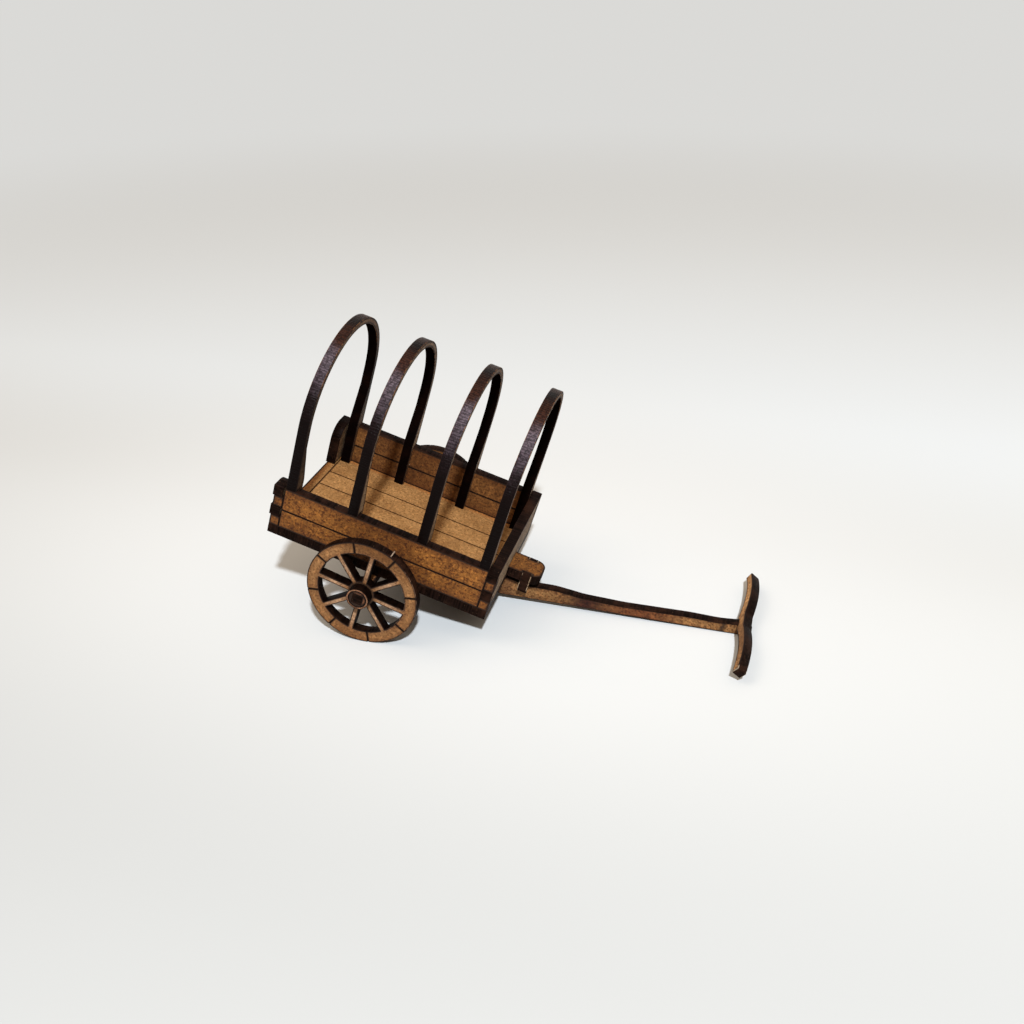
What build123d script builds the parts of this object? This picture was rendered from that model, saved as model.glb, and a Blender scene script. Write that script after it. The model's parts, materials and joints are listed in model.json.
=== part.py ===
from build123d import *
import os
from math import asin, atan2, cos, degrees, hypot, radians, sin

# Miniature two-wheeled ox cart cut from one thickness of board. It rests nose-down on its wheels and drawbar.
# Cart frame: x forward to the yoke, y to the left, z up, with zero on top of the floor at mid-bed.
os.makedirs("parts", exist_ok=True)

# Sheet stock and laser work
sheet = 2.0
engrave_width = 0.3
engrave_depth = 0.2
overrun = 0.5

# Bed
bed_length = 45.8
bed_width = 33.4
panel_height = 9.0
finger_rows = 4
side_line_height = 4.1
plank_width = 5.5
plank_shift = -0.4
plank_lines = 4
post_width = 5.8
post_round = 3.5
post_proud = 0.3

# Hoops
hoop_end_gap = 0.1
hoop_place_shares = {"hoop_rear": -1, "hoop_mid_rear": -0.36, "hoop_mid_front": 0.36, "hoop_front": 1}
hoop_inset = 0.1
hoop_centre_height = 22.5
hoop_band = 1.3
hoop_foot_width = 1.4
hoop_neck_height = 1.5
hoop_flare_height = 8.0

# Running gear
wheel_radius = 11.15
rim_width = 2.4
spoke_count = 8
spoke_width = 1.05
nave_diameter = 5.4
wheel_gap = 3.1
wheel_rest_turn = -2.5
nave_ring_diameter = 4.5
nave_ring_length = 2.0
bush_diameter = 3.4
running_gap = 0.05
axle_section = 2.0
axle_setback = 0.4
axle_drop = 3.4
bearer_length = 8.0
bearer_spread_share = 0.66
bearer_lip = 1.0

# Front tab and the bracket that ties the drawbar to it
tab_reach = 6.8
tab_width = 6.2
tab_round = 2.0
bracket_place = 4.0
bracket_leg = 1.6
bracket_drop = 0.8
bracket_ear = 0.7

# Drawbar
bar_tail = 12.0
bar_root_height = 4.45
bar_height = 2.0
bar_root_top = 3.15
bar_neck = 2.25
bar_waist = 1.9
bar_swell = 2.2
bar_round = 20.0
bar_place_shares = (0.21, 0.33, 0.5, 0.76, 0.88)
nose_reach = 0.8
nose_height = 0.15
nose_toe = -1.2
shoulder_height = -0.45
lap_height = -0.7

# Yoke
yoke_span = 33.4
yoke_reach = 46.25
yoke_rise = 8.8
yoke_lean = 22.2
yoke_end_cut = 0.3
neck_place = 9.6
yoke_middle = 2.2
yoke_end_top = 1.25
yoke_lobe_top = 2.05
yoke_middle_top = 1.1
yoke_end_bottom = -0.38
yoke_lobe_bottom = 0.3
yoke_middle_bottom = -1.0

half_length = bed_length / 2
half_width = bed_width / 2
inner_half_width = half_width - sheet
hoop_radius = half_width - hoop_inset
end_hoop_place = half_length - sheet - hoop_end_gap - sheet / 2
finger_height = panel_height / finger_rows
wheel_inner_face = half_width + wheel_gap
wheel_outer_face = wheel_inner_face + sheet
hub_end = wheel_outer_face + nave_ring_length
bore_diameter = bush_diameter + 2 * running_gap
yoke_place = half_length + yoke_reach

# The yoke's own directions in the cart frame: along its thickness, and up its face
yoke_through = (cos(radians(yoke_lean)), -sin(radians(yoke_lean)))
yoke_up = (sin(radians(yoke_lean)), cos(radians(yoke_lean)))


def yoke_point(through, up):
    """The (x, z) place in the cart frame of a point of the yoke's middle section."""
    x = yoke_place + through * yoke_through[0] + up * yoke_up[0]
    z = yoke_rise + through * yoke_through[1] + up * yoke_up[1]
    return x, z


def pitch_onto(toe):
    """The nose-down pitch, in radians, at which the ground touches the wheels and this point."""
    run = toe[0] + axle_setback
    climb = toe[1] + axle_drop
    return atan2(climb, run) + asin(wheel_radius / hypot(run, climb))


# Resting pitch: the first point to meet the ground is the yoke's lower front edge or the drawbar's toe
yoke_toe = yoke_point(sheet, yoke_middle_bottom)
bar_toe = yoke_point(sheet + nose_reach, nose_toe)
pitch = min(pitch_onto(yoke_toe), pitch_onto(bar_toe))
bed_lift = wheel_radius - axle_setback * sin(pitch) + axle_drop * cos(pitch)
tip_x, tip_z = yoke_point(sheet, yoke_lobe_top)
rear_end = -half_length * cos(pitch) - sheet * sin(pitch)
rear_end = min(rear_end, -(half_length + post_proud) * cos(pitch))
front_end = tip_x * cos(pitch) + tip_z * sin(pitch)
cart = Plane(
    origin=(-(rear_end + front_end) / 2, 0, bed_lift),
    x_dir=(cos(pitch), 0, -sin(pitch)),
    z_dir=(sin(pitch), 0, cos(pitch)),
)


def level(z):
    """A plane of the cart that lies flat at height z, facing up."""
    return Plane(origin=cart.from_local_coords((0, 0, z)), x_dir=cart.x_dir, z_dir=cart.z_dir)


def upright(y):
    """A lengthwise plane at y. It faces right, and its own axes are the cart's x and z."""
    return Plane(origin=cart.from_local_coords((0, y, 0)), x_dir=cart.x_dir, z_dir=-cart.y_dir)


def cross(x):
    """A crosswise plane at x. It faces forward, and its own axes are the cart's y and z."""
    return Plane(origin=cart.from_local_coords((x, 0, 0)), x_dir=cart.y_dir, z_dir=cart.x_dir)


def finish(piece, name):
    """Label a finished piece and write it."""
    piece.part.label = name
    export_step(piece.part, f"parts/{name}.step")


# Floor plate with its engraved planks and a line along each end of them
plank_length = bed_length - 2 * sheet
with BuildPart() as floor_plate:
    with BuildSketch(level(-sheet)):
        Rectangle(bed_length, bed_width)
    extrude(amount=sheet)
    with BuildSketch(level(0)):
        with Locations((0, plank_shift)):
            with GridLocations(0, plank_width, 1, plank_lines):
                Rectangle(plank_length, engrave_width)
        with GridLocations(plank_length, 0, 2, 1):
            Rectangle(engrave_width, 2 * inner_half_width)
    extrude(amount=-engrave_depth, mode=Mode.SUBTRACT)
finish(floor_plate, "floor_plate")

# Heights of the rows in which the end pieces' fingers pass through the side panels
finger_places = [(row + 0.5) * finger_height for row in range(1, finger_rows, 2)]


def side_panel(outer_y, name):
    """A side of the bed, notched at both ends, with its plank line engraved on both faces."""
    with BuildPart() as panel:
        with BuildSketch(upright(outer_y + sheet / 2)):
            with Locations((0, panel_height / 2)):
                Rectangle(bed_length, panel_height)
            notches = [(end * (half_length - sheet / 2), z) for end in (-1, 1) for z in finger_places]
            with Locations(*notches):
                Rectangle(sheet, finger_height, mode=Mode.SUBTRACT)
        extrude(amount=sheet)
        for face_y, inward in ((outer_y + sheet / 2, 1), (outer_y - sheet / 2, -1)):
            with BuildSketch(upright(face_y)):
                with Locations((0, side_line_height)):
                    Rectangle(plank_length, engrave_width)
                with Locations((-half_length + sheet, panel_height / 2), (half_length - sheet, panel_height / 2)):
                    Rectangle(engrave_width, panel_height)
            extrude(amount=inward * engrave_depth, mode=Mode.SUBTRACT)
    finish(panel, name)


side_panel(half_width - sheet / 2, "side_panel_left")
side_panel(-half_width + sheet / 2, "side_panel_right")

# Front panel: its fingers show on both sides, and it straddles the tab
with BuildPart() as front_panel:
    with BuildSketch(cross(half_length - sheet)):
        with Locations((0, panel_height / 2)):
            Rectangle(2 * inner_half_width, panel_height)
        with Locations(*[(0, z) for z in finger_places]):
            Rectangle(bed_width, finger_height)
        with Locations((0, sheet / 2)):
            Rectangle(tab_width, sheet, mode=Mode.SUBTRACT)
    extrude(amount=sheet)
finish(front_panel, "front_panel")


def rear_post(hand, name):
    """A corner post beside the open tail, rounded at its inner top corner."""
    with BuildPart() as post:
        with BuildSketch(cross(-half_length - post_proud)) as outline:
            inner_post = post_width - sheet
            with Locations((hand * (inner_half_width - inner_post / 2), panel_height / 2)):
                Rectangle(inner_post, panel_height)
            corner = outline.vertices().group_by(Axis.Y)[-1].sort_by(Axis.X)[0 if hand > 0 else -1]
            fillet(corner, post_round)
            with Locations(*[(hand * (half_width - sheet / 2), z) for z in finger_places]):
                Rectangle(sheet, finger_height)
        extrude(amount=sheet)
    finish(post, name)


rear_post(1, "rear_post_left")
rear_post(-1, "rear_post_right")


def hoop(x, name):
    """A tilt hoop: a half-round arch whose shoulders sit on the side panels, with feet inside them."""
    inner_radius = hoop_radius - hoop_band
    foot_inside = inner_half_width - hoop_foot_width
    neck = panel_height + hoop_neck_height
    with BuildPart() as arch:
        with BuildSketch(cross(x - sheet / 2)):
            with BuildLine():
                RadiusArc(
                    (0, hoop_centre_height + hoop_radius), (hoop_radius, hoop_centre_height), hoop_radius
                )
                Polyline(
                    (hoop_radius, hoop_centre_height),
                    (hoop_radius, panel_height),
                    (inner_half_width, panel_height),
                    (inner_half_width, 0),
                    (foot_inside, 0),
                    (foot_inside, neck),
                    (inner_radius, neck + hoop_flare_height),
                    (inner_radius, hoop_centre_height),
                )
                RadiusArc(
                    (inner_radius, hoop_centre_height), (0, hoop_centre_height + inner_radius), -inner_radius
                )
                Line((0, hoop_centre_height + inner_radius), (0, hoop_centre_height + hoop_radius))
            make_face()
            mirror(about=Plane.YZ)
        extrude(amount=sheet)
    finish(arch, name)


for hoop_name, place_share in hoop_place_shares.items():
    hoop(place_share * end_hoop_place, hoop_name)

# Square axle, and the two bearers that hold it under the floor
with BuildPart() as axle:
    with BuildSketch(upright(hub_end)):
        with Locations((-axle_setback, -axle_drop)):
            Rectangle(axle_section, axle_section)
    extrude(amount=2 * hub_end)
finish(axle, "axle")

bearer_y = bearer_spread_share * bed_width / 2
for hand, bearer_name in ((1, "axle_bearer_left"), (-1, "axle_bearer_right")):
    bearer_bottom = -axle_drop - axle_section / 2 - bearer_lip
    with BuildPart() as bearer:
        with BuildSketch(upright(hand * bearer_y + sheet / 2)):
            with Locations((-axle_setback, -sheet)):
                Rectangle(bearer_length, -sheet - bearer_bottom, align=(Align.CENTER, Align.MAX))
            with Locations((-axle_setback, -axle_drop)):
                Rectangle(axle_section, axle_section, mode=Mode.SUBTRACT)
        extrude(amount=sheet)
    finish(bearer, bearer_name)


def wheel(hand, side_name):
    """A one-sheet wheel with engraved felloe joints, its nave ring, and the bush that it turns on."""
    start = wheel_outer_face if hand > 0 else -wheel_inner_face
    outer = hand * wheel_outer_face
    hub_start = hub_end if hand > 0 else -wheel_outer_face
    bush_start = hub_end if hand > 0 else -wheel_inner_face
    hub = (-axle_setback, -axle_drop)
    with BuildPart() as disc:
        with BuildSketch(upright(start)):
            with Locations(hub):
                Circle(wheel_radius)
                Circle(wheel_radius - rim_width, mode=Mode.SUBTRACT)
                with PolarLocations(0, spoke_count, start_angle=wheel_rest_turn):
                    Rectangle(wheel_radius - rim_width / 2, spoke_width, align=(Align.MIN, Align.CENTER))
                Circle(nave_diameter / 2)
                Circle(bore_diameter / 2, mode=Mode.SUBTRACT)
        extrude(amount=sheet)
        with BuildSketch(upright(outer)):
            with Locations(hub):
                joint_turn = wheel_rest_turn + 180 / spoke_count
                with PolarLocations(wheel_radius - rim_width / 2, spoke_count, start_angle=joint_turn):
                    Rectangle(rim_width + 2 * overrun, engrave_width)
        extrude(amount=hand * engrave_depth, mode=Mode.SUBTRACT)
    finish(disc, f"wheel_{side_name}")
    with BuildPart() as ring:
        with BuildSketch(upright(hub_start)):
            with Locations(hub):
                Circle(nave_ring_diameter / 2)
                Circle(bore_diameter / 2, mode=Mode.SUBTRACT)
        extrude(amount=nave_ring_length)
    finish(ring, f"nave_ring_{side_name}")
    with BuildPart() as bush:
        with BuildSketch(upright(bush_start)):
            with Locations(hub):
                Circle(bush_diameter / 2)
                Rectangle(axle_section, axle_section, mode=Mode.SUBTRACT)
        extrude(amount=hub_end - wheel_inner_face)
    finish(bush, f"axle_bush_{side_name}")


wheel(1, "left")
wheel(-1, "right")

# Round-cornered front tab on the floor's level, notched for the bracket's ears
bracket_x = half_length + bracket_place
with BuildPart() as front_tab:
    with BuildSketch(level(0)) as tab_outline:
        with Locations((half_length - sheet, 0)):
            Rectangle(sheet + tab_reach, tab_width, align=(Align.MIN, Align.CENTER))
        fillet(tab_outline.vertices().group_by(Axis.X)[-1], tab_round)
        with Locations((bracket_x, (tab_width - bracket_ear) / 2), (bracket_x, (bracket_ear - tab_width) / 2)):
            Rectangle(sheet, bracket_ear, mode=Mode.SUBTRACT)
    extrude(amount=sheet)
finish(front_tab, "front_tab")

# Drawbar: a bar under the floor, deep at the tab and waisted further on, notched at its nose for the yoke
bar_root = (half_length, -sheet - bar_root_height)


def bar_top(place_share, height):
    """A point of the drawbar's top, this high above the straight underside."""
    x = bar_root[0] + place_share * (bar_toe[0] - bar_root[0])
    z = bar_root[1] + place_share * (bar_toe[1] - bar_root[1]) + height
    return x, z


top_heights = (bar_root_top, bar_neck, bar_waist, bar_swell, bar_height)
top_points = [(bracket_x + sheet / 2, -sheet)]
top_points += [bar_top(share, height) for share, height in zip(bar_place_shares, top_heights)]
top_points += [yoke_point(0, shoulder_height)]
with BuildPart() as drawbar:
    with BuildSketch(upright(sheet / 2)):
        with BuildLine():
            FilletPolyline(*top_points, radius=bar_round)
            Polyline(
                top_points[-1],
                yoke_point(0, lap_height),
                yoke_point(sheet, lap_height),
                yoke_point(sheet, nose_height),
                yoke_point(sheet + nose_reach, nose_height),
                bar_toe,
                bar_root,
                (half_length - bar_tail, -sheet - bar_height),
                (half_length - bar_tail, -sheet),
                top_points[0],
            )
        make_face()
    extrude(amount=sheet)
finish(drawbar, "drawbar")

# Bracket: its waist fills the gap between tab and drawbar, with ears in the tab and legs beside the bar
with BuildPart() as drawbar_bracket:
    with BuildSketch(cross(bracket_x - sheet / 2)):
        with Locations((0, -sheet)):
            Rectangle(tab_width, sheet, align=(Align.CENTER, Align.MIN))
        leg_y = sheet / 2 + bracket_leg / 2
        with Locations((leg_y, -sheet), (-leg_y, -sheet)):
            Rectangle(bracket_leg, bracket_drop, align=(Align.CENTER, Align.MAX))
        ear_y = (tab_width - bracket_ear) / 2
        with Locations((ear_y, 0), (-ear_y, 0)):
            Rectangle(bracket_ear, sheet, align=(Align.CENTER, Align.MIN))
    extrude(amount=sheet)
finish(drawbar_bracket, "drawbar_bracket")

# Yoke: a wavy bar with an arch for each neck, square ended, notched where it crosses the drawbar
yoke_plane = Plane(
    origin=cart.from_local_coords((yoke_place, 0, yoke_rise)),
    x_dir=cart.y_dir,
    z_dir=cart.from_local_coords((yoke_place + yoke_through[0], 0, yoke_rise + yoke_through[1]))
    - cart.from_local_coords((yoke_place, 0, yoke_rise)),
)
end_y = yoke_span / 2
with BuildPart() as yoke:
    with BuildSketch(yoke_plane):
        with BuildLine():
            ThreePointArc((yoke_middle, yoke_middle_top), (neck_place, yoke_lobe_top), (end_y, yoke_end_top))
            Line((end_y, yoke_end_top), (end_y - yoke_end_cut, yoke_end_bottom))
            ThreePointArc(
                (end_y - yoke_end_cut, yoke_end_bottom),
                (neck_place, yoke_lobe_bottom),
                (yoke_middle, yoke_middle_bottom),
            )
            Polyline(
                (yoke_middle, yoke_middle_bottom),
                (0, yoke_middle_bottom),
                (0, yoke_middle_top),
                (yoke_middle, yoke_middle_top),
            )
        make_face()
        mirror(about=Plane.YZ)
        lap_depth = lap_height - yoke_middle_bottom
        with Locations((0, yoke_middle_bottom)):
            Rectangle(sheet, lap_depth, align=(Align.CENTER, Align.MIN), mode=Mode.SUBTRACT)
    extrude(amount=sheet)
finish(yoke, "yoke")
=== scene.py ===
import json
import math

import bmesh
import bpy
from bpy.props import FloatProperty, FloatVectorProperty, IntProperty, PointerProperty
from mathutils import Euler, Matrix, Vector, kdtree

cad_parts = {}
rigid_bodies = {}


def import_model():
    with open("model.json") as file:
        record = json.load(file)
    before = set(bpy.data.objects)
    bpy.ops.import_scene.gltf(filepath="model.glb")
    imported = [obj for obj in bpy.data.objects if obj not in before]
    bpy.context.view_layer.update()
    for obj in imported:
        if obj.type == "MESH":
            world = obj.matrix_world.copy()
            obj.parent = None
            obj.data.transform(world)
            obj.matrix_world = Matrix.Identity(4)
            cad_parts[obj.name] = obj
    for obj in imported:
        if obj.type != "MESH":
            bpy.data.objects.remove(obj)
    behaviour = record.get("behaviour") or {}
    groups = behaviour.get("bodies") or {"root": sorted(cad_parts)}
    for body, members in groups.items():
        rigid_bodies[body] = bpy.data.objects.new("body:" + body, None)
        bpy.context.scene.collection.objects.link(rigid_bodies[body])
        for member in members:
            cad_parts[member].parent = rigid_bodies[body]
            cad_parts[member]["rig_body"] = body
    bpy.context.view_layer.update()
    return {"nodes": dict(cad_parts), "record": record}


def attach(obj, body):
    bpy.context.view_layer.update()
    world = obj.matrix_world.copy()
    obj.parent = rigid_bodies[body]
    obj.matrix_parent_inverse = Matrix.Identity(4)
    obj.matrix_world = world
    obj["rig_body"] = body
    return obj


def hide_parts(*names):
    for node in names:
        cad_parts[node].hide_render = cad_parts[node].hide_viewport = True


bl_info = {
    "name": "Miniature Ox Cart",
    "version": (1, 0, 0),
    "blender": (4, 5, 0),
    "location": "3D View > Sidebar > Ox Cart",
    "description": "Dresses the packed ox cart as laser-cut board with burned edges",
    "category": "Object",
}

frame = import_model()
nodes = frame["nodes"]

# The cart's own frame has x forward, y left and z up, with zero on the floor at mid-bed.
# The bench matrix takes the shared frame's metres to millimetres in the cart's own frame.
MM = 1000
bed_mount = next(mount for mount in frame["record"]["mounts"] if mount["name"] == "bed_floor")
cart_up = Vector(bed_mount["axis"]).normalized()
cart_left = Vector((0, 1, 0))
cart_forward = cart_left.cross(cart_up)
cart = Matrix((cart_forward, cart_left, cart_up)).transposed().to_4x4()
cart.translation = Vector((bed_mount["pos_m"][0], 0, bed_mount["pos_m"][2]))
bench = Matrix.Scale(MM, 4) @ cart.inverted()

# Sizes of the model that its finish refers to, in millimetres of the cart's own frame
SHEET = 2.0
HALF_LENGTH = 22.9
INNER_HALF_WIDTH = 14.7
ENGRAVE_DEPTH = 0.2
HOOP_RADIUS = 16.6
HOOP_CENTRE_HEIGHT = 22.5
WHEEL_CENTRE = Vector((-0.4, 0, -3.4))
WHEEL_RADIUS = 11.15
WHEEL_OUTER_FACE = -21.8
NAVE_REACH = 8.9

# Noise scales of the char's ribs, by the way that they run through the board, and the hoops' rib pitch
RIB = 2.8
RIB_RUN = 0.10
ACROSS = (RIB_RUN, RIB, RIB)
UPRIGHT = (RIB, RIB_RUN, RIB)
LEVEL = (RIB, RIB, RIB_RUN)
HOOP_RIB_PITCH = 0.55

# Colours of the burned board
FLECK_DARK = (0.34, 0.24, 0.17)
FLECK_PALE = (2.0, 2.0, 2.0)
SINGED = (0.030, 0.012, 0.007)
UNBURNED = (0.30, 0.17, 0.09)
DEEP_CHAR = (0.0012, 0.0006, 0.0004)
ARRIS_CHAR = (0.010, 0.005, 0.004)
FURROW = (0.0028, 0.0013, 0.0012)
HOOP_INSIDE = ((0.0016, 0.0008, 0.0006), (0.0055, 0.0020, 0.0011))
# Colours along a hoop's back by its angle up the arch, painted as the key light falls: dark low down, a
# purple-grey painted sheen partway up, browner above and dark at the crest
HOOP_PAINTED_SHEEN = (
    (0.00, (0.0020, 0.0006, 0.0003)),
    (0.34, (0.0034, 0.0011, 0.0008)),
    (0.46, (0.0085, 0.0042, 0.0046)),
    (0.58, (0.060, 0.042, 0.052)),
    (0.70, (0.105, 0.078, 0.094)),
    (0.79, (0.040, 0.015, 0.010)),
    (0.90, (0.032, 0.0110, 0.0060)),
    (1.00, (0.005, 0.0022, 0.0015)),
)

# Bench work: gaps and steps in millimetres
MERGE_GAP = 0.0008
MERGE_ANGLE = 0.02
SAMPLE_STEP = 0.1
NO_EDGE = 9
CUT_GAP = 0.0005
CUT_SHIFT = 0.31
LEVEL_GAP = 0.01
LINE_GAP = 0.02
FLAT = 0.99
STEEP = 0.05
SHARP_ANGLE = math.radians(38)

# A board's materials, in order: its face, its cut edge, its engraved lines and its pale arrises
FACE, EDGE, LINE, ARRIS = range(4)

# Camera and key light, in the shared frame's metres
CAMERA_PLACE = (0.0473872, -0.1776653, 0.1229416)
CAMERA_TURN = (60.9543, 0.3940, 15.3396)
CAMERA_LENS = 37.5295
CAMERA_SENSOR = 36
KEY_PLACE = (0.167, -0.419, 0.510)
KEY_RADIUS = 0.018
KEY_COLOR = (0.92, 0.975, 1.0)
REAR_DIRECTION = (-0.62, -0.15, 0.77)
REAR_ANGLE = 45
REAR_COLOR = (1.0, 0.84, 0.66)

# Ground and surroundings: the ground's painted light and shade are gains on its colour, and its reaches are
# in metres
GROUND_SIZE = 4
FAR_GAIN = (1.14, 1.18, 1.23)
FAR_REACH = (0.03, 0.11)
NEAR_SHADE_GAIN = 0.81
NEAR_REACH = (0.02, -0.09)
GLARE_SHIFT = (0.02, -0.005, 0)
GLARE_REACH = 0.15
BACKDROP_REACH = (0.20, 0.60)
LOW_SKY = (0.03, 0.024, 0.018)
HIGH_SKY = (1.0, 0.83, 0.64)


class OxCartSettings(bpy.types.PropertyGroup):
    """Sizes and colours of the cart's finish."""

    arris_width: FloatProperty(
        name="Arris",
        description="Width of the softened arris round each cut board",
        default=0.00006,
        min=0.00001,
        unit="LENGTH",
        precision=5,
    )
    halo_width: FloatProperty(
        name="Burned outline",
        description="Width of the dark line that the cut leaves on a board's face",
        default=0.0002,
        min=0.00005,
        unit="LENGTH",
        precision=5,
    )
    glow_width: FloatProperty(
        name="Scorch",
        description="How far the brown scorch spreads from a cut",
        default=0.0016,
        min=0.0001,
        unit="LENGTH",
        precision=5,
    )
    grid_step: FloatProperty(
        name="Grid",
        description="Spacing of the grid that carries the scorch across a face",
        default=0.0006,
        min=0.0002,
        unit="LENGTH",
        precision=5,
    )
    burn_color: FloatVectorProperty(
        name="Burned outline",
        description="Colour of the dark line beside a cut",
        subtype="COLOR",
        default=(0.010, 0.004, 0.0018),
        min=0,
        max=1,
    )
    glow_color: FloatVectorProperty(
        name="Scorch",
        description="Colour of the scorched board near a cut",
        subtype="COLOR",
        default=(0.15, 0.050, 0.012),
        min=0,
        max=1,
    )
    char_color: FloatVectorProperty(
        name="Char",
        description="Darkest colour of a cut edge",
        subtype="COLOR",
        default=(0.0028, 0.0012, 0.0007),
        min=0,
        max=1,
    )
    soot_color: FloatVectorProperty(
        name="Soot",
        description="Palest colour of the ribs on a cut edge",
        subtype="COLOR",
        default=(0.0098, 0.0042, 0.0030),
        min=0,
        max=1,
    )
    floor_color: FloatVectorProperty(
        name="Ground",
        description="Colour of the ground under the cart",
        subtype="COLOR",
        default=(0.505, 0.521, 0.540),
        min=0,
        max=1,
    )
    # Colour of the painted pool of light on the ground round the drawbar
    glare_color: FloatVectorProperty(
        name="Painted glare",
        description="Colour of the ground round the drawbar",
        subtype="COLOR",
        default=(0.590, 0.607, 0.632),
        min=0,
        max=1,
    )
    backdrop_color: FloatVectorProperty(
        name="Backdrop",
        description="Colour that the camera sees beyond the ground",
        subtype="COLOR",
        default=(0.705, 0.70, 0.68),
        min=0,
        max=1,
    )
    key_strength: FloatProperty(
        name="Key light",
        description="Strength of the light from above the camera",
        default=4.45,
        min=0,
    )
    world_strength: FloatProperty(
        name="Surroundings",
        description="Strength of the pale surroundings",
        default=0.72,
        min=0,
    )
    back_strength: FloatProperty(
        name="Rear light",
        description="Strength of the light from the open tail's side",
        default=1.0,
        min=0,
    )
    arris_segments: IntProperty(
        name="Arris segments",
        description="Number of faces across a softened arris",
        default=2,
        min=1,
        max=4,
    )


def material_start(name):
    """Start a material and return it with its tree and shader."""
    material = bpy.data.materials.new(name)
    material.use_nodes = True
    tree = material.node_tree
    return material, tree, tree.nodes["Principled BSDF"]


def remap(tree, point, scale=(1, 1, 1), turn=(0, 0, 0), shift=(0, 0, 0)):
    """Stretch, turn and shift a point."""
    mapping = tree.nodes.new("ShaderNodeMapping")
    mapping.inputs["Location"].default_value = shift
    mapping.inputs["Rotation"].default_value = turn
    mapping.inputs["Scale"].default_value = scale
    tree.links.new(point, mapping.inputs["Vector"])
    return mapping.outputs["Vector"]


def cart_point(tree):
    """Millimetres in the cart's own frame, from Object coordinates."""
    place = tree.nodes.new("ShaderNodeTexCoord")
    turn = bench.to_3x3().normalized().to_euler()
    return remap(tree, place.outputs["Object"], (MM, MM, MM), turn, bench.translation)


def cloud(tree, point, scale, detail=3.0, roughness=0.6, distortion=0.0):
    """Noise between 0 and 1, centred on a half."""
    texture = tree.nodes.new("ShaderNodeTexNoise")
    texture.inputs["Scale"].default_value = scale
    texture.inputs["Detail"].default_value = detail
    texture.inputs["Roughness"].default_value = roughness
    texture.inputs["Distortion"].default_value = distortion
    tree.links.new(point, texture.inputs["Vector"])
    return texture.outputs["Fac"]


def span(tree, value, start, end, low=0.0, high=1.0, smooth=True):
    """Map a value from one range to another, held at its ends."""
    ranged = tree.nodes.new("ShaderNodeMapRange")
    ranged.interpolation_type = "SMOOTHSTEP" if smooth else "LINEAR"
    ranged.inputs["From Min"].default_value = start
    ranged.inputs["From Max"].default_value = end
    ranged.inputs["To Min"].default_value = low
    ranged.inputs["To Max"].default_value = high
    tree.links.new(value, ranged.inputs["Value"])
    return ranged.outputs["Result"]


def feed(tree, socket, value):
    """Give a socket another socket's value, or a plain number or colour."""
    if isinstance(value, bpy.types.NodeSocket):
        tree.links.new(value, socket)
    elif socket.type == "RGBA":
        socket.default_value = (*value[:3], 1)
    else:
        socket.default_value = value


def calc(tree, operation, first, second=None):
    """A Math node on sockets or plain numbers."""
    step = tree.nodes.new("ShaderNodeMath")
    step.operation = operation
    feed(tree, step.inputs[0], first)
    if second is not None:
        feed(tree, step.inputs[1], second)
    return step.outputs["Value"]


def swing(tree, noise, amount):
    """Noise made to swing about zero."""
    return calc(tree, "MULTIPLY", calc(tree, "SUBTRACT", noise, 0.5), amount)


def blend_colors(tree, factor, first, second, mode="MIX"):
    """Mix two colours, given as sockets or plain colours."""
    mix = tree.nodes.new("ShaderNodeMix")
    mix.data_type = "RGBA"
    mix.blend_type = mode
    feed(tree, mix.inputs["Factor"], factor)
    for key, value in (("A", first), ("B", second)):
        feed(tree, next(s for s in mix.inputs if s.name == key and s.type == "RGBA"), value)
    return next(s for s in mix.outputs if s.type == "RGBA")


def lay_over(tree, color, mask, amount, tint, mode="MIX"):
    """Lay some of a tint over a colour, where a mask is one."""
    return blend_colors(tree, calc(tree, "MULTIPLY", mask, amount), color, tint, mode)


def ramp(tree, value, stops):
    """Colour by value: stops are (place, colour) pairs."""
    shades = tree.nodes.new("ShaderNodeValToRGB")
    strip = shades.color_ramp
    while len(strip.elements) < len(stops):
        strip.elements.new(1.0)
    for element, (place, color) in zip(strip.elements, stops):
        element.position = place
        element.color = (*color, 1)
    tree.links.new(value, shades.inputs["Fac"])
    return shades.outputs["Color"]


def length(tree, vector):
    """Length of a vector."""
    measure = tree.nodes.new("ShaderNodeVectorMath")
    measure.operation = "LENGTH"
    tree.links.new(vector, measure.inputs[0])
    return measure.outputs["Value"]


def axis_value(tree, point, axis):
    """One coordinate of a point."""
    split = tree.nodes.new("ShaderNodeSeparateXYZ")
    tree.links.new(point, split.inputs["Vector"])
    return split.outputs[axis]


def stored(tree, name):
    """A number stored on the mesh."""
    attribute = tree.nodes.new("ShaderNodeAttribute")
    attribute.attribute_name = name
    return attribute.outputs["Fac"]


def relief(tree, shader, height, depth):
    """Raise the surface by a height in millimetres."""
    bump = tree.nodes.new("ShaderNodeBump")
    bump.inputs["Strength"].default_value = 1
    bump.inputs["Distance"].default_value = depth / MM
    tree.links.new(height, bump.inputs["Height"])
    tree.links.new(bump.outputs["Normal"], shader.inputs["Normal"])


def sum_of_squares(tree, first, second):
    """The square of the distance that two sides make."""
    squares = [calc(tree, "MULTIPLY", side, side) for side in (first, second)]
    return calc(tree, "ADD", *squares)


def axle_distance(tree, point):
    """Square of the distance from the wheels' axle."""
    along = calc(tree, "SUBTRACT", axis_value(tree, point, "X"), WHEEL_CENTRE.x)
    above = calc(tree, "SUBTRACT", axis_value(tree, point, "Z"), WHEEL_CENTRE.z)
    return sum_of_squares(tree, along, above)


def band(tree, value, middle, reach):
    """One at the middle, falling smoothly to zero at reach."""
    away = calc(tree, "ABSOLUTE", calc(tree, "SUBTRACT", value, middle))
    return span(tree, away, reach, 0)


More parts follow.
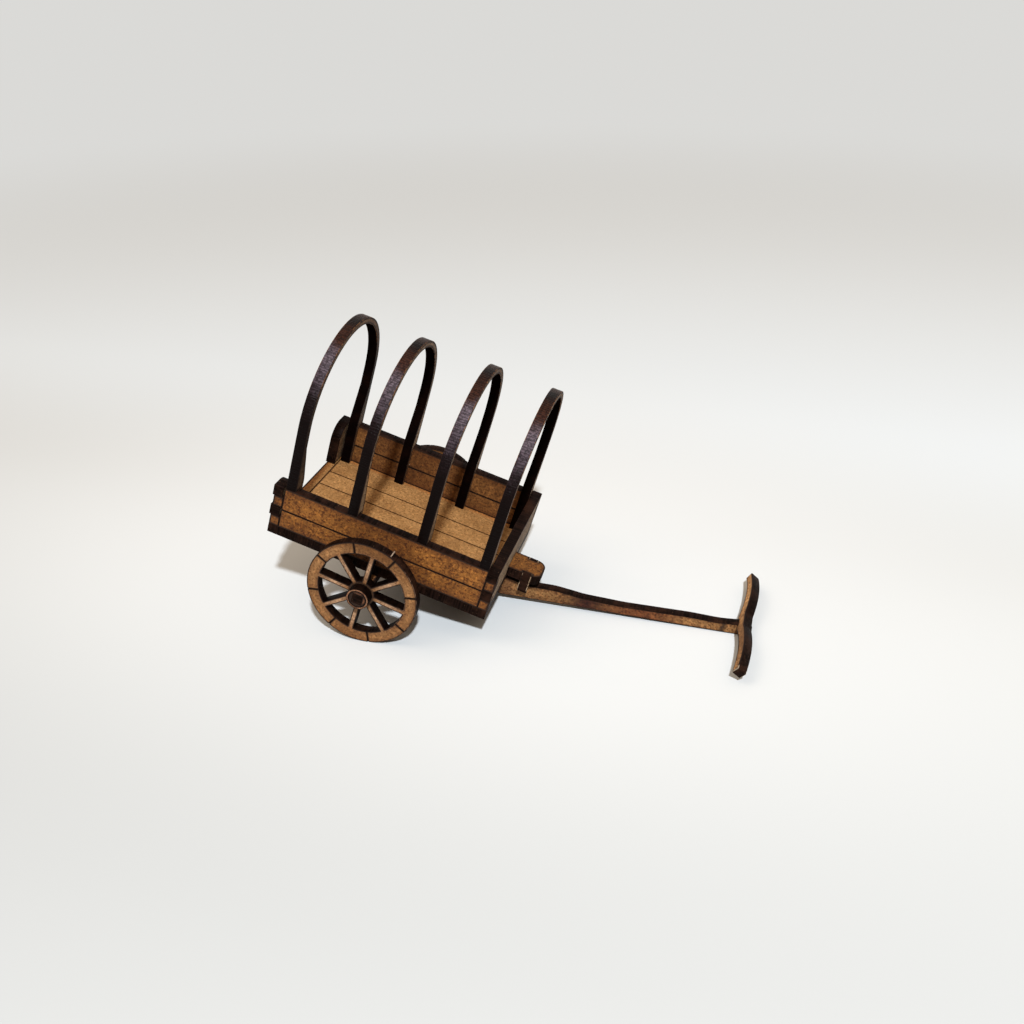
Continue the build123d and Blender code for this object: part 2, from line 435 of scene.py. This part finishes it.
def board_face(
    name,
    pale,
    deep,
    glow=0.6,
    line_burn=0.9,
    line_reach=0.14,
    glow_reach=1.0,
    halo=1.0,
    fleck=1.0,
    bands=(),
    rings=(),
):
    """Mottled fibreboard, browned near its cuts.

    bands are (axis, middle, reach, amount, colour) in the cart's own frame. rings are (radius, reach,
    amount, colour) about the wheels' axle.
    """
    settings = bpy.context.scene.ox_cart
    material, tree, shader = material_start(name)
    point = cart_point(tree)
    broad = cloud(tree, point, 0.16, 3, 0.5)
    blotch = cloud(tree, point, 0.75, 5, 0.66, 0.4)
    fibre = cloud(tree, point, 2.0, 4, 0.7)
    speck = cloud(tree, point, 2.3)
    freckle = cloud(tree, point, 1.5, 2, 0.5)
    distance = stored(tree, "edge_distance")

    tone = calc(tree, "MULTIPLY", broad, 0.3)
    tone = calc(tree, "ADD", tone, calc(tree, "MULTIPLY", blotch, 0.35))
    tone = calc(tree, "ADD", tone, calc(tree, "MULTIPLY", fibre, 0.35))
    color = blend_colors(tree, span(tree, tone, 0.40, 0.60), pale, deep)

    ragged = swing(tree, blotch, 2.2)
    reach = settings.glow_width * MM * glow_reach
    browned = span(tree, calc(tree, "ADD", distance, ragged), reach, 0.1)
    color = lay_over(tree, color, browned, glow, settings.glow_color, "MULTIPLY")
    color = lay_over(tree, color, browned, glow * 0.45, settings.glow_color)
    for axis, middle, far, amount, tint in bands:
        place = calc(tree, "ADD", axis_value(tree, point, axis), calc(tree, "MULTIPLY", ragged, 0.4))
        color = lay_over(tree, color, band(tree, place, middle, far), amount, tint)
    for radius, far, amount, tint in rings:
        away = calc(tree, "SQRT", axle_distance(tree, point))
        color = lay_over(tree, color, band(tree, away, radius, far), amount, tint)
    color = lay_over(tree, color, span(tree, speck, 0.50, 0.61), 0.85 * fleck, FLECK_DARK, "MULTIPLY")
    color = lay_over(tree, color, span(tree, freckle, 0.52, 0.63), 0.6 * fleck, FLECK_PALE, "MULTIPLY")

    wobble = swing(tree, fibre, 0.16)
    width = settings.halo_width * MM * halo
    near_cut = span(tree, calc(tree, "ADD", distance, wobble), width * 2.2, width * 1.2)
    color = lay_over(tree, color, near_cut, 0.95, settings.burn_color)
    near_line = calc(tree, "ADD", stored(tree, "line_distance"), wobble)
    color = lay_over(tree, color, span(tree, near_line, line_reach, 0.02), line_burn, settings.burn_color)

    tree.links.new(color, shader.inputs["Base Color"])
    tree.links.new(span(tree, fibre, 0.3, 0.7, 0.85, 0.65, False), shader.inputs["Roughness"])
    shader.inputs["Specular IOR Level"].default_value = 0.2
    relief(tree, shader, calc(tree, "ADD", fibre, speck), 0.03)
    return material


def burned_edge(name, rib_scale, dark, light, inside):
    """A cut edge: char ribbed through the board, with unburned specks, darker near the axle."""
    material, tree, shader = material_start(name)
    point = cart_point(tree)
    ribs = cloud(tree, remap(tree, point, rib_scale), 1.0)
    patch = cloud(tree, point, 0.25)
    grit = cloud(tree, point, 3.0)
    color = blend_colors(tree, span(tree, ribs, 0.40, 0.62), dark, light)
    color = lay_over(tree, color, span(tree, patch, 0.45, 0.65), 0.5, SINGED)
    color = lay_over(tree, color, span(tree, grit, 0.66, 0.74), 0.35, UNBURNED)
    if inside:
        deeper = span(tree, axle_distance(tree, point), inside**2, (inside - 0.3) ** 2, 0.0, 0.7)
        color = blend_colors(tree, deeper, color, DEEP_CHAR)
    tree.links.new(color, shader.inputs["Base Color"])
    tree.links.new(span(tree, ribs, 0.3, 0.7, 0.55, 0.40, False), shader.inputs["Roughness"])
    shader.inputs["Specular IOR Level"].default_value = 0.02
    relief(tree, shader, ribs, 0.08)
    return material


def hoop_edge(name):
    """A hoop's burned edge: near black inside and low down, finely ribbed and a little glossy on its back,
    with a painted sheen partway up the arch.
    """
    material, tree, shader = material_start(name)
    point = cart_point(tree)
    grit = cloud(tree, point, 3.0)
    patch = cloud(tree, point, 0.30)
    drift = cloud(tree, remap(tree, point, (0.10, 1.2, 1.2)), 1.0)
    pits = span(tree, cloud(tree, point, 2.4, 2, 0.7), 0.54, 0.40)

    across = calc(tree, "ABSOLUTE", axis_value(tree, point, "Y"))
    height = calc(tree, "SUBTRACT", axis_value(tree, point, "Z"), HOOP_CENTRE_HEIGHT)
    rise = calc(tree, "MAXIMUM", height, 0.0)
    radius = calc(tree, "SQRT", sum_of_squares(tree, across, rise))
    outside = span(tree, radius, HOOP_RADIUS - 0.8, HOOP_RADIUS - 0.4)

    along = calc(tree, "MULTIPLY", calc(tree, "ARCTAN2", rise, across), HOOP_RADIUS)
    along = calc(tree, "ADD", along, calc(tree, "MINIMUM", height, 0.0))
    waves = calc(tree, "MULTIPLY", along, 2 * math.pi / HOOP_RIB_PITCH)
    waves = calc(tree, "SINE", calc(tree, "ADD", waves, calc(tree, "MULTIPLY", drift, 14.0)))
    ribs = calc(tree, "ADD", waves, calc(tree, "MULTIPLY", grit, 4.0))
    ribs = span(tree, ribs, 0.3, 3.7, smooth=False)

    # The back's angle up the arch, which picks its colour from the painted sheen
    level = calc(tree, "ADD", calc(tree, "ARCTAN2", height, across), swing(tree, patch, 0.45))
    level = span(tree, level, math.radians(-40), math.radians(90), smooth=False)
    inner = blend_colors(tree, span(tree, patch, 0.45, 0.7), *HOOP_INSIDE)
    color = blend_colors(tree, outside, inner, ramp(tree, level, HOOP_PAINTED_SHEEN))
    furrow = calc(tree, "MULTIPLY", span(tree, ribs, 0.60, 0.30), 0.6)
    furrow = calc(tree, "MAXIMUM", furrow, calc(tree, "MULTIPLY", pits, 0.75))
    color = blend_colors(tree, furrow, color, FURROW)
    tree.links.new(color, shader.inputs["Base Color"])
    tree.links.new(span(tree, grit, 0.35, 0.65, 0.44, 0.30, False), shader.inputs["Roughness"])
    tree.links.new(calc(tree, "MULTIPLY", outside, 0.05), shader.inputs["Specular IOR Level"])
    relief(tree, shader, calc(tree, "ADD", ribs, calc(tree, "MULTIPLY", grit, 0.6)), 0.06)
    return material


def engraved_line(name, dark, light):
    """The burned bottom and walls of an engraved line."""
    material, tree, shader = material_start(name)
    grain = cloud(tree, cart_point(tree), 2.0, 3, 0.55)
    color = blend_colors(tree, span(tree, grain, 0.35, 0.65), dark, light)
    tree.links.new(color, shader.inputs["Base Color"])
    shader.inputs["Roughness"].default_value = 0.85
    shader.inputs["Specular IOR Level"].default_value = 0.1
    relief(tree, shader, grain, 0.05)
    return material


def torn_arris(name, pale, axis, start, end, wear_from=0.44, wear_to=0.54):
    """Char with pale patches, shown from start to end along one axis."""
    material, tree, shader = material_start(name)
    point = cart_point(tree)
    wear = cloud(tree, point, 1.1)
    shown = span(tree, axis_value(tree, point, axis), start, end)
    bare = calc(tree, "MULTIPLY", span(tree, wear, wear_from, wear_to), shown)
    color = blend_colors(tree, bare, ARRIS_CHAR, pale)
    tree.links.new(color, shader.inputs["Base Color"])
    shader.inputs["Roughness"].default_value = 0.8
    shader.inputs["Specular IOR Level"].default_value = 0.1
    relief(tree, shader, wear, 0.04)
    return material


def shared(name, maker, *values, **more):
    """A material that several pieces wear, made once."""
    found = bpy.data.materials.get(name)
    return found or maker(name, *values, **more)


def edge_material(kind, ribs, inside=0.0):
    """The burned edge of one kind of piece."""
    settings = bpy.context.scene.ox_cart
    dark, light = settings.char_color, settings.soot_color
    return shared(f"burned edge {kind}", burned_edge, ribs, dark, light, inside)


def line_material():
    """The engraved lines' material."""
    return shared("engraved line", engraved_line, (0.005, 0.0020, 0.0010), (0.015, 0.006, 0.003))


def merged_board(node):
    """A board's CAD solid on the bench, with its loose triangles merged into whole faces."""
    bm = bmesh.new()
    bm.from_mesh(nodes[node].data)
    bm.transform(bench)
    bmesh.ops.remove_doubles(bm, verts=bm.verts, dist=MERGE_GAP)
    bmesh.ops.dissolve_limit(
        bm,
        angle_limit=MERGE_ANGLE,
        use_dissolve_boundaries=False,
        verts=bm.verts,
        edges=bm.edges,
        delimit=set(),
    )
    bm.normal_update()
    if any(len(edge.link_faces) != 2 for edge in bm.edges):
        raise RuntimeError(f"{node}: its merged solid is open")
    return bm


def lay_flat(bm, through=None):
    """Turn a board so that its sheet lies level on the bench, and return the turn."""
    widest = max(bm.faces, key=lambda face: face.calc_area())
    through = Vector(through or widest.normal)
    if through.x - through.y + through.z < 0:
        through.negate()
    along = Vector((1, 0, 0)) if abs(through.y) > 0.5 else Vector((0, 1, 0))
    turn = Matrix((along, through.cross(along), through)).to_4x4()
    bm.transform(turn)
    bm.normal_update()
    return turn


def sheet_depth(face, low, high):
    """How deep a face lies in a sheet between two levels."""
    middle = face.calc_center_median().z
    return min(middle - low, high - middle)


def is_outer(face, low, high):
    """Whether a face is one of the sheet's two outer faces."""
    return abs(face.normal.z) > FLAT and sheet_depth(face, low, high) < LEVEL_GAP


def is_cut(face):
    """Whether a face is cut deeper than an engraved line."""
    levels = [vert.co.z for vert in face.verts]
    return abs(face.normal.z) < 0.5 and max(levels) - min(levels) > ENGRAVE_DEPTH * 2


def outline_edges(bm, low, high):
    """The edges round the sheet's outer faces, at its cuts and at its engraved lines."""
    arrises = []
    lines = []
    for edge in bm.edges:
        inner = [face for face in edge.link_faces if not is_outer(face, low, high)]
        if len(inner) == 1:
            (arrises if is_cut(inner[0]) else lines).append(edge)
    return arrises, lines


def samples(edges):
    """Points along edges, at most a step apart."""
    points = []
    for edge in edges:
        start, end = (vert.co for vert in edge.verts)
        count = max(1, math.ceil((end - start).length / SAMPLE_STEP))
        points += [start.lerp(end, k / count) for k in range(count + 1)]
    return points


def nearest_tree(points):
    """A search tree of points."""
    tree = kdtree.KDTree(max(1, len(points)))
    for index, point in enumerate(points):
        tree.insert(point, index)
    tree.balance()
    return tree


def cross_cut(bm, axis, step):
    """Cut the whole piece across one axis at even steps."""
    places = [vert.co[axis] for vert in bm.verts]
    low, high = min(places), max(places)
    count = math.ceil((high - low) / step)
    normal = Vector((0, 0, 0))
    normal[axis] = 1
    for k in range(1, count):
        bmesh.ops.bisect_plane(
            bm,
            geom=bm.verts[:] + bm.edges[:] + bm.faces[:],
            dist=CUT_GAP,
            plane_co=normal * (low + (high - low) * (k + CUT_SHIFT) / count),
            plane_no=normal,
        )


def material_of(face, low, high, paled):
    """The place in a board's materials of the one that a face wears."""
    depth = sheet_depth(face, low, high)
    slanted = STEEP < abs(face.normal.z) < FLAT
    if is_outer(face, low, high):
        return FACE
    if depth < ENGRAVE_DEPTH + LINE_GAP and not slanted:
        return LINE
    return ARRIS if slanted and paled else EDGE


def finish_normals(bm):
    """Smooth shading, kept sharp across real corners."""
    for face in bm.faces:
        face.smooth = True
    for edge in bm.edges:
        edge.smooth = len(edge.link_faces) == 2 and edge.calc_face_angle(0) < SHARP_ANGLE


def add_object(name, data):
    """Stand a new object in the scene."""
    added = bpy.data.objects.new(name, data)
    bpy.context.scene.collection.objects.link(added)
    return added


def place_piece(bm, name, node, materials, replaced):
    """Put bench work back in the shared frame, as a finished piece on a node's body."""
    finish_normals(bm)
    bm.transform(bench.inverted())
    mesh = bpy.data.meshes.new(name)
    bm.to_mesh(mesh)
    bm.free()
    for material in materials:
        mesh.materials.append(material)
    piece = add_object(name, mesh)
    if replaced:
        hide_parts(node)
    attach(piece, nodes[node]["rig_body"])


def dress_board(node, materials, halo=None, step=None, through=None, arris=1):
    """Make a board's visible piece: softened arrises, burned outline and the distances for its scorch."""
    settings = bpy.context.scene.ox_cart
    bm = merged_board(node)
    turn = lay_flat(bm, through)
    heights = [vert.co.z for vert in bm.verts]
    low, high = min(heights), max(heights)
    arrises, lines = outline_edges(bm, low, high)
    edge_tree = nearest_tree(samples(arrises))
    line_tree = nearest_tree(samples(lines))
    bmesh.ops.bevel(
        bm,
        geom=arrises,
        affect="EDGES",
        offset_type="OFFSET",
        offset=settings.arris_width * MM * arris,
        segments=settings.arris_segments,
        profile=0.5,
        material=-1,
        clamp_overlap=False,
    )
    bm.normal_update()
    bmesh.ops.inset_region(
        bm,
        faces=[face for face in bm.faces if is_outer(face, low, high)],
        thickness=halo or settings.halo_width * MM * 1.5,
        use_boundary=True,
        use_even_offset=True,
    )
    for axis in (0, 1):
        cross_cut(bm, axis, step or settings.grid_step * MM)
    bm.normal_update()
    edge_layer = bm.verts.layers.float.new("edge_distance")
    line_layer = bm.verts.layers.float.new("line_distance")
    for vert in bm.verts:
        vert[edge_layer] = edge_tree.find(vert.co)[2] if arrises else NO_EDGE
        vert[line_layer] = line_tree.find(vert.co)[2] if lines else NO_EDGE
    for face in bm.faces:
        face.material_index = material_of(face, low, high, len(materials) > ARRIS)
    bm.transform(turn.inverted())
    place_piece(bm, f"{node}.board", node, materials, True)


def cutting_stub(name, bearing, size, lift, material):
    """A stub on the right wheel's tread, left where the wheel was held in its sheet."""
    bm = bmesh.new()
    bmesh.ops.create_cube(bm, size=1)
    bmesh.ops.scale(bm, vec=size, verts=bm.verts)
    bmesh.ops.bevel(
        bm,
        geom=bm.edges[:],
        affect="EDGES",
        offset_type="OFFSET",
        offset=0.06,
        segments=2,
        profile=0.5,
        material=-1,
    )
    on_tread = Matrix.Translation((WHEEL_RADIUS + lift - size[0] / 2, 0, 0))
    spin = Matrix.Rotation(math.radians(-bearing), 4, "Y")
    tip = Matrix.Rotation(math.radians(90), 4, "X")
    bm.transform(spin @ on_tread @ tip)
    mid_sheet = WHEEL_OUTER_FACE + SHEET / 2
    bm.transform(Matrix.Translation((WHEEL_CENTRE.x, mid_sheet, WHEEL_CENTRE.z)))
    place_piece(bm, f"wheel_right.{name}", "wheel_right", (material,), False)


class OXCART_OT_floor(bpy.types.Operator):
    """Dress the floor plate with its engraved planks"""

    bl_idname = "oxcart.floor"
    bl_label = "Floor"

    def execute(self, context):
        orange = (0.25, 0.085, 0.018)
        dark = (0.09, 0.034, 0.010)
        # Painted shade: the plate's lower face is made nearly black
        underside_shade = (0.03, 0.012, 0.006)
        bands = (
            ("Y", INNER_HALF_WIDTH, 1.5, 0.75, orange),
            ("Y", -INNER_HALF_WIDTH, 1.2, 0.5, orange),
            ("X", -HALF_LENGTH, 1.8, 0.7, orange),
            ("X", HALF_LENGTH - SHEET, 0.9, 0.5, dark),
            ("Z", -SHEET, 1.0, 0.95, underside_shade),
        )
        pale, deep = (0.292, 0.150, 0.054), (0.185, 0.086, 0.027)
        face = shared(
            "floor face", board_face, pale, deep, glow=0.1, line_burn=0.3, fleck=0.65, bands=bands
        )
        line = shared("plank line", engraved_line, (0.026, 0.010, 0.0035), (0.070, 0.028, 0.009))
        dress_board("floor_plate", (face, edge_material("level", LEVEL), line))
        return {"FINISHED"}


class OXCART_OT_side_panels(bpy.types.Operator):
    """Dress both sides of the bed"""

    bl_idname = "oxcart.side_panels"
    bl_label = "Side Panels"

    def execute(self, context):
        # Each side's face is darker about the middle of its length
        tinge = (0.062, 0.018, 0.0034)
        near = ((0.23, 0.087, 0.0165), (0.094, 0.030, 0.0046))
        far = ((0.165, 0.066, 0.0170), (0.072, 0.025, 0.0055))
        sides = (
            ("right", "side face", near, 1.0, ("X", -1.0, 13.0, 0.5, tinge)),
            ("left", "far side face", far, 0.8, ("X", -4.0, 12.0, 0.45, tinge)),
        )
        for side, name, colors, fleck, smoked in sides:
            face = shared(name, board_face, *colors, glow=0.5, glow_reach=1.2, fleck=fleck, bands=(smoked,))
            materials = (face, edge_material("upright", UPRIGHT), line_material())
            dress_board(f"side_panel_{side}", materials)
        return {"FINISHED"}


class OXCART_OT_end_boards(bpy.types.Operator):
    """Dress the front panel and the two rear posts"""

    bl_idname = "oxcart.end_boards"
    bl_label = "End Boards"

    def execute(self, context):
        face = shared("end face", board_face, (0.27, 0.185, 0.112), (0.15, 0.092, 0.048), glow=0.3)
        for node in ("front_panel", "rear_post_left", "rear_post_right"):
            dress_board(node, (face, edge_material("across", ACROSS), line_material()))
        return {"FINISHED"}


class OXCART_OT_hoops(bpy.types.Operator):
    """Dress the four tilt hoops"""

    bl_idname = "oxcart.hoops"
    bl_label = "Hoops"

    def execute(self, context):
        pale, deep = (0.34, 0.245, 0.16), (0.18, 0.105, 0.055)
        untinged = shared("hoop face", board_face, pale, deep, glow_reach=0.6, halo=1.1)
        # The rear hoop's faces are darker about their mid-height
        tinge = ("Z", 20, 22, 1, (0.014, 0.006, 0.003))
        smoked = shared("smoked hoop face", board_face, pale, deep, bands=(tinge,))
        edge = shared("burned edge hoop", hoop_edge)
        paler = shared("worn hoop arris", torn_arris, (0.19, 0.080, 0.03), "Z", 28, 32)
        hoops = (("rear", smoked), ("mid_rear", untinged), ("mid_front", untinged), ("front", untinged))
        for place, face in hoops:
            materials = (face, edge, line_material(), paler)
            dress_board(f"hoop_{place}", materials, halo=0.25, step=0.5)
        return {"FINISHED"}


class OXCART_OT_wheels(bpy.types.Operator):
    """Dress both wheels and their nave rings"""

    bl_idname = "oxcart.wheels"
    bl_label = "Wheels"

    def execute(self, context):
        burn = context.scene.ox_cart.burn_color
        pale, deep = (0.275, 0.135, 0.051), (0.160, 0.068, 0.022)
        spokes = (5.9, 3.7, 0.55, (0.40, 0.25, 0.155))
        nave = (2.2, 0.9, 0.95, burn)
        # Painted shade: the rim's face is darker at its top, under the bed
        rim_top_shade = ("Z", 7.2, 4.5, 0.75, (0.085, 0.030, 0.006))
        rim_foot = ("Z", -14.6, 4.5, 0.5, (0.140, 0.052, 0.013))
        face = shared(
            "wheel face",
            board_face,
            pale,
            deep,
            glow=0.35,
            glow_reach=0.7,
            line_reach=0.24,
            halo=0.62,
            fleck=0.7,
            bands=(rim_top_shade, rim_foot),
            rings=(spokes, nave),
        )
        paler = shared("worn tyre arris", torn_arris, (0.16, 0.085, 0.05), "X", 6.0, 7.5)
        edge = edge_material("wheel", UPRIGHT, inside=NAVE_REACH)
        pale, deep = (0.24, 0.12, 0.065), (0.14, 0.06, 0.03)
        rings = ((1.7, 0.25, 0.95, burn), (2.3, 0.12, 0.6, burn))
        ring_face = shared("ring face", board_face, pale, deep, glow=0.1, halo=0.35, rings=rings)
        for side in ("left", "right"):
            dress_board(f"wheel_{side}", (face, edge, line_material(), paler), step=0.5)
            ring = (ring_face, edge, line_material())
            dress_board(f"nave_ring_{side}", ring, halo=0.1, step=0.5, through=(0, 1, 0))
        chip = shared("chip", torn_arris, (0.24, 0.17, 0.125), "Z", 0, 1, 0.0, 0.1)
        cutting_stub("stub", 62, (0.7, 0.9, 1.7), 0.4, edge)
        cutting_stub("stub_chip", 71, (0.8, 0.24, 1.35), 0.55, chip)
        return {"FINISHED"}


class OXCART_OT_axle(bpy.types.Operator):
    """Dress the axle, its bushes and its bearers"""

    bl_idname = "oxcart.axle"
    bl_label = "Axle"

    def execute(self, context):
        pale, deep = (0.17, 0.075, 0.025), (0.08, 0.033, 0.012)
        face = shared("axle face", board_face, pale, deep, glow=0.5, glow_reach=0.4)
        bush_face = shared("bush face", board_face, (0.24, 0.11, 0.06), (0.12, 0.05, 0.025), halo=0.55)
        edge = edge_material("upright", UPRIGHT)
        for side in ("left", "right"):
            bush = (bush_face, edge, line_material())
            dress_board(f"axle_bush_{side}", bush, halo=0.07, step=0.5, through=(0, 1, 0))
            dress_board(f"axle_bearer_{side}", (face, edge, line_material()))
        dress_board("axle", (face, edge_material("axle", ACROSS), line_material()))
        return {"FINISHED"}


class OXCART_OT_tab_and_bracket(bpy.types.Operator):
    """Dress the front tab and the bracket that holds the drawbar"""

    bl_idname = "oxcart.tab_and_bracket"
    bl_label = "Tab and Bracket"

    def execute(self, context):
        pale, deep = (0.175, 0.068, 0.0145), (0.080, 0.026, 0.005)
        face = shared("tab face", board_face, pale, deep, glow=0.5, glow_reach=0.7)
        materials = (face, edge_material("level", LEVEL), line_material())
        dress_board("front_tab", materials, halo=0.15, step=0.4)
        paler = shared("torn arris", torn_arris, (0.34, 0.23, 0.14), "Z", -9, -8, 0.44, 0.52)
        materials = (face, edge_material("across", ACROSS), line_material(), paler)
        dress_board("drawbar_bracket", materials, halo=0.1, step=0.4, arris=2.5)
        return {"FINISHED"}


class OXCART_OT_drawbar(bpy.types.Operator):
    """Dress the drawbar"""

    bl_idname = "oxcart.drawbar"
    bl_label = "Drawbar"

    def execute(self, context):
        bands = (
            ("X", 23.5, 4.0, 0.65, (0.085, 0.028, 0.010)),
            ("X", 50.0, 13.0, 0.9, (0.100, 0.027, 0.008)),
            ("X", 40.0, 7.5, 0.97, (0.026, 0.005, 0.0025)),
            ("X", 66.4, 0.9, 0.85, (0.012, 0.005, 0.003)),
        )
        pale, deep = (0.27, 0.135, 0.048), (0.155, 0.068, 0.022)
        face = shared(
            "drawbar face", board_face, pale, deep, glow=0.35, glow_reach=0.6, halo=0.5, bands=bands
        )
        materials = (face, edge_material("upright", UPRIGHT), line_material())
        dress_board("drawbar", materials, halo=0.15, step=0.5)
        return {"FINISHED"}


class OXCART_OT_yoke(bpy.types.Operator):
    """Dress the yoke"""

    bl_idname = "oxcart.yoke"
    bl_label = "Yoke"

    def execute(self, context):
        pale, deep = (0.42, 0.225, 0.090), (0.26, 0.125, 0.046)
        bands = (("Y", -7, 15, 0.75, (0.10, 0.043, 0.017)),)
        face = shared("yoke face", board_face, pale, deep, glow=0.2, glow_reach=0.4, halo=0.8, bands=bands)
        paler = shared("torn yoke arris", torn_arris, (0.28, 0.22, 0.16), "Y", -15.6, -16.2, 0.3, 0.4)
        edge = edge_material("across", ACROSS)
        dress_board("yoke", (face, edge, line_material(), paler), halo=0.15, step=0.4, arris=2)
        return {"FINISHED"}


def near_lamp(name, place, strength, radius, color):
    """A small lamp at a place, with its strength measured at the origin."""
    lamp = bpy.data.lights.new(name, "POINT")
    lamp.energy = strength * 4 * math.pi * Vector(place).length_squared
    lamp.shadow_soft_size = radius
    lamp.color = color
    add_object(name, lamp).location = place


def sun(name, direction, strength, angle, color):
    """A soft, even lamp that shines from a direction."""
    lamp = bpy.data.lights.new(name, "SUN")
    lamp.energy = strength
    lamp.angle = math.radians(angle)
    lamp.color = color
    add_object(name, lamp).rotation_euler = Vector(direction).to_track_quat("Z", "Y").to_euler()


def background_rays(tree):
    """One for the rays that see the plain background: the camera's, glossy ones and those through glass."""
    rays = tree.nodes.new("ShaderNodeLightPath")
    seen = calc(tree, "MAXIMUM", rays.outputs["Is Camera Ray"], rays.outputs["Is Transmission Ray"])
    return calc(tree, "MAXIMUM", seen, rays.outputs["Is Glossy Ray"])


def ground_material(settings):
    """Pale ground with painted light and shade: a painted pool of light round the drawbar, painted shade on
    the near side, paler and cooler far off, that turns into the plain backdrop far away.
    """
    material, tree, shader = material_start("ground")
    place = tree.nodes.new("ShaderNodeTexCoord").outputs["Object"]
    depth = axis_value(tree, place, "Y")
    far_color = [shade * gain for shade, gain in zip(settings.floor_color, FAR_GAIN)]
    color = blend_colors(tree, span(tree, depth, *FAR_REACH), settings.floor_color, far_color)
    # Painted shade: the ground is darker on its near side
    near = span(tree, depth, *NEAR_REACH)
    color = blend_colors(tree, near, color, [shade * NEAR_SHADE_GAIN for shade in settings.floor_color])
    # Painted pool of light round the drawbar, fading out where the near side is shaded
    spot = length(tree, remap(tree, place, shift=GLARE_SHIFT))
    glare = calc(tree, "MULTIPLY", span(tree, spot, GLARE_REACH, 0.0), calc(tree, "SUBTRACT", 1.0, near))
    color = blend_colors(tree, glare, color, settings.glare_color)
    tree.links.new(color, shader.inputs["Base Color"])
    shader.inputs["Roughness"].default_value = 0.9
    shader.inputs["Specular IOR Level"].default_value = 0.0

    beyond = span(tree, length(tree, place), *BACKDROP_REACH)
    plain = tree.nodes.new("ShaderNodeEmission")
    plain.inputs["Color"].default_value = (*settings.backdrop_color, 1)
    mixed = tree.nodes.new("ShaderNodeMixShader")
    tree.links.new(calc(tree, "MULTIPLY", beyond, background_rays(tree)), mixed.inputs[0])
    tree.links.new(shader.outputs["BSDF"], mixed.inputs[1])
    tree.links.new(plain.outputs["Emission"], mixed.inputs[2])
    tree.links.new(mixed.outputs["Shader"], tree.nodes["Material Output"].inputs["Surface"])
    return material


def add_ground(settings):
    """Lay the ground under the cart."""
    bm = bmesh.new()
    bmesh.ops.create_grid(bm, x_segments=8, y_segments=8, size=GROUND_SIZE)
    mesh = bpy.data.meshes.new("ground")
    bm.to_mesh(mesh)
    bm.free()
    mesh.materials.append(ground_material(settings))
    add_object("ground", mesh)


def surroundings(settings):
    """Warm light from above and little from the sides, behind a plain backdrop."""
    world = bpy.data.worlds.new("surroundings")
    world.use_nodes = True
    tree = world.node_tree
    outward = tree.nodes.new("ShaderNodeTexCoord").outputs["Generated"]
    lifted = span(tree, axis_value(tree, outward, "Z"), 0.1, 0.85)
    color = blend_colors(tree, lifted, LOW_SKY, HIGH_SKY)
    seen = background_rays(tree)
    color = blend_colors(tree, seen, color, settings.backdrop_color)
    strength = calc(tree, "MAXIMUM", seen, settings.world_strength)
    background = tree.nodes["Background"]
    tree.links.new(color, background.inputs["Color"])
    tree.links.new(strength, background.inputs["Strength"])
    return world


def add_camera():
    """Stand the camera where it sees the cart as the photo does."""
    eye = bpy.data.cameras.new("camera")
    eye.sensor_width = CAMERA_SENSOR
    eye.lens = CAMERA_LENS
    eye.clip_start = 0.01
    eye.clip_end = 20
    camera = add_object("camera", eye)
    camera.location = CAMERA_PLACE
    camera.rotation_euler = Euler([math.radians(angle) for angle in CAMERA_TURN])
    return camera


class OXCART_OT_stage(bpy.types.Operator):
    """Set up the pale ground, the lamps and the camera"""

    bl_idname = "oxcart.stage"
    bl_label = "Stage"

    def execute(self, context):
        scene = context.scene
        settings = scene.ox_cart
        add_ground(settings)
        scene.world = surroundings(settings)
        near_lamp("key light", KEY_PLACE, settings.key_strength, KEY_RADIUS, KEY_COLOR)
        sun("rear light", REAR_DIRECTION, settings.back_strength, REAR_ANGLE, REAR_COLOR)
        scene.camera = add_camera()
        scene.view_settings.view_transform = "Standard"
        return {"FINISHED"}


class OXCART_PT_panel(bpy.types.Panel):
    """The cart's pieces and finish"""

    bl_idname = "OXCART_PT_panel"
    bl_label = "Ox Cart"
    bl_space_type = "VIEW_3D"
    bl_region_type = "UI"
    bl_category = "Ox Cart"

    def draw(self, context):
        settings = context.scene.ox_cart
        column = self.layout.column(align=True)
        for name in OxCartSettings.__annotations__:
            column.prop(settings, name)
        column = self.layout.column(align=True)
        for operator in operators:
            column.operator(operator.bl_idname)


operators = (
    OXCART_OT_floor,
    OXCART_OT_side_panels,
    OXCART_OT_end_boards,
    OXCART_OT_hoops,
    OXCART_OT_wheels,
    OXCART_OT_axle,
    OXCART_OT_tab_and_bracket,
    OXCART_OT_drawbar,
    OXCART_OT_yoke,
    OXCART_OT_stage,
)
classes = (OxCartSettings, *operators, OXCART_PT_panel)


def register():
    """Register the classes and the settings."""
    for cls in classes:
        bpy.utils.register_class(cls)
    bpy.types.Scene.ox_cart = PointerProperty(type=OxCartSettings)


def unregister():
    """Take the settings and the classes away."""
    del bpy.types.Scene.ox_cart
    for cls in reversed(classes):
        bpy.utils.unregister_class(cls)


def main():
    """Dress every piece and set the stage."""
    register()
    bpy.ops.oxcart.floor()
    bpy.ops.oxcart.side_panels()
    bpy.ops.oxcart.end_boards()
    bpy.ops.oxcart.hoops()
    bpy.ops.oxcart.wheels()
    bpy.ops.oxcart.axle()
    bpy.ops.oxcart.tab_and_bracket()
    bpy.ops.oxcart.drawbar()
    bpy.ops.oxcart.yoke()
    bpy.ops.oxcart.stage()


if __name__ == "__main__":
    main()
